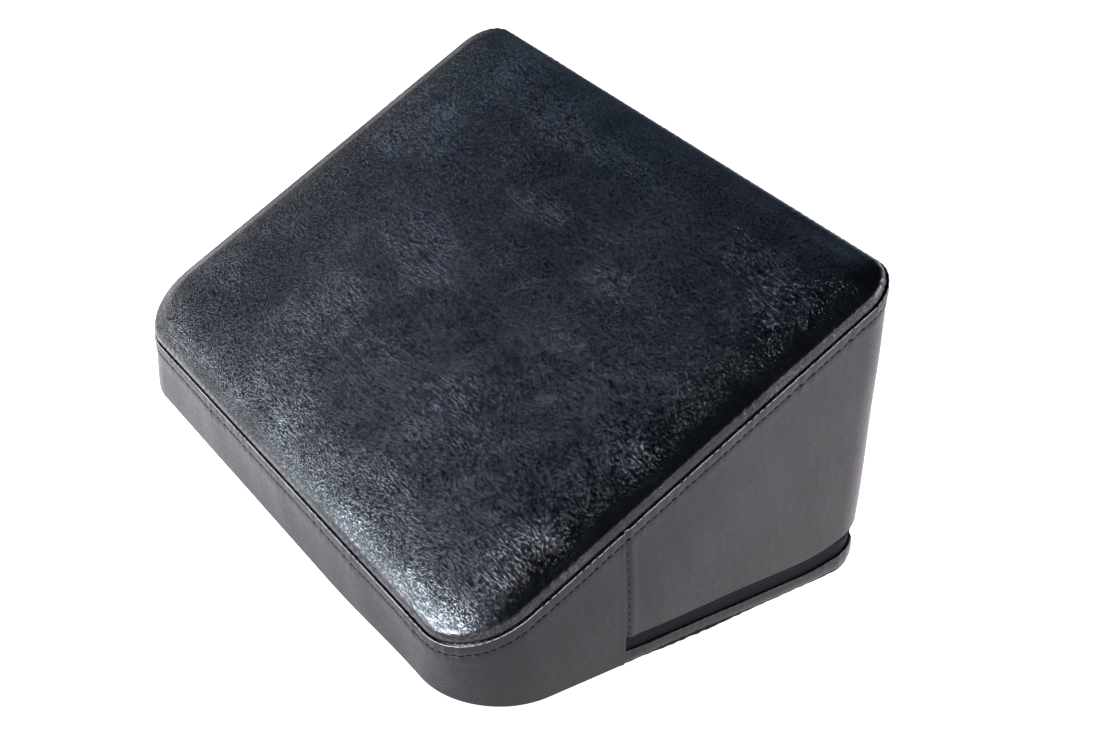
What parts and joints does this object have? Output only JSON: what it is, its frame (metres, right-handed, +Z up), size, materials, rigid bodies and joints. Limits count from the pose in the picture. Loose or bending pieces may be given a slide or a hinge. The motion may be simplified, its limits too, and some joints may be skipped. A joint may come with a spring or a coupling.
{
  "type": "wedge cushion",
  "caption": "Leather-covered foam wedge cushion for a massage or treatment table, with a sloping padded top and a zip-off cover.",
  "frame": {"origin": "middle of the flat underside, on the surface it rests on", "axes": "+X across the cushion, +Y from the low front edge to the high back, +Z up"},
  "size_m": [0.4036, 0.2637, 0.1772],
  "materials": {
    "top_leather": "satin",
    "side_leather": "satin",
    "base_fabric": "matte",
    "thread": "satin",
    "zip_tape": "matte",
    "zip_coil": "satin",
    "slider_metal": "gloss",
    "lock_spring": "satin",
    "firm_foam": "matte",
    "soft_foam": "matte",
    "wadding": "matte",
    "sleeve_cloth": "matte"
  },
  "bodies": {
    "cushion": {"top_panel": "top_leather", "front_band": "side_leather", "rear_band": "side_leather", "base_strip": "side_leather", "base_panel": "base_fabric", "topstitch_thread": "thread", "top_seam_thread": "thread", "side_seam_thread_left": "thread", "side_seam_thread_right": "thread", "base_seam_thread": "thread", "zip_seam_thread_upper": "thread", "zip_seam_thread_lower": "thread", "zip_tape_upper": "zip_tape", "zip_tape_lower": "zip_tape", "zip_coil_upper": "zip_coil", "zip_coil_lower": "zip_coil", "inner_sleeve": "sleeve_cloth", "top_wadding": "wadding", "comfort_foam": "soft_foam", "foam_core": "firm_foam"},
    "zip_slider": {"slider_body": "slider_metal", "slider_bridge": "slider_metal", "slider_lock_spring": "lock_spring"},
    "zip_pull": {"pull_tab": "slider_metal"}
  },
  "joints": [
    {"name": "zip_slide", "type": "slide", "parent": "cushion", "child": "zip_slider", "axis": [0, 1, 0], "range_m": [0, 0.12], "deforming": ["zip_tape_upper", "zip_tape_lower", "zip_coil_upper", "zip_coil_lower"]},
    {"name": "pull_swing", "type": "hinge", "parent": "zip_slider", "child": "zip_pull", "pos_m": [-0.20095, -0.026, 0.0126], "axis": [0, 0, 1], "range_deg": [0, 175]}
  ]
}
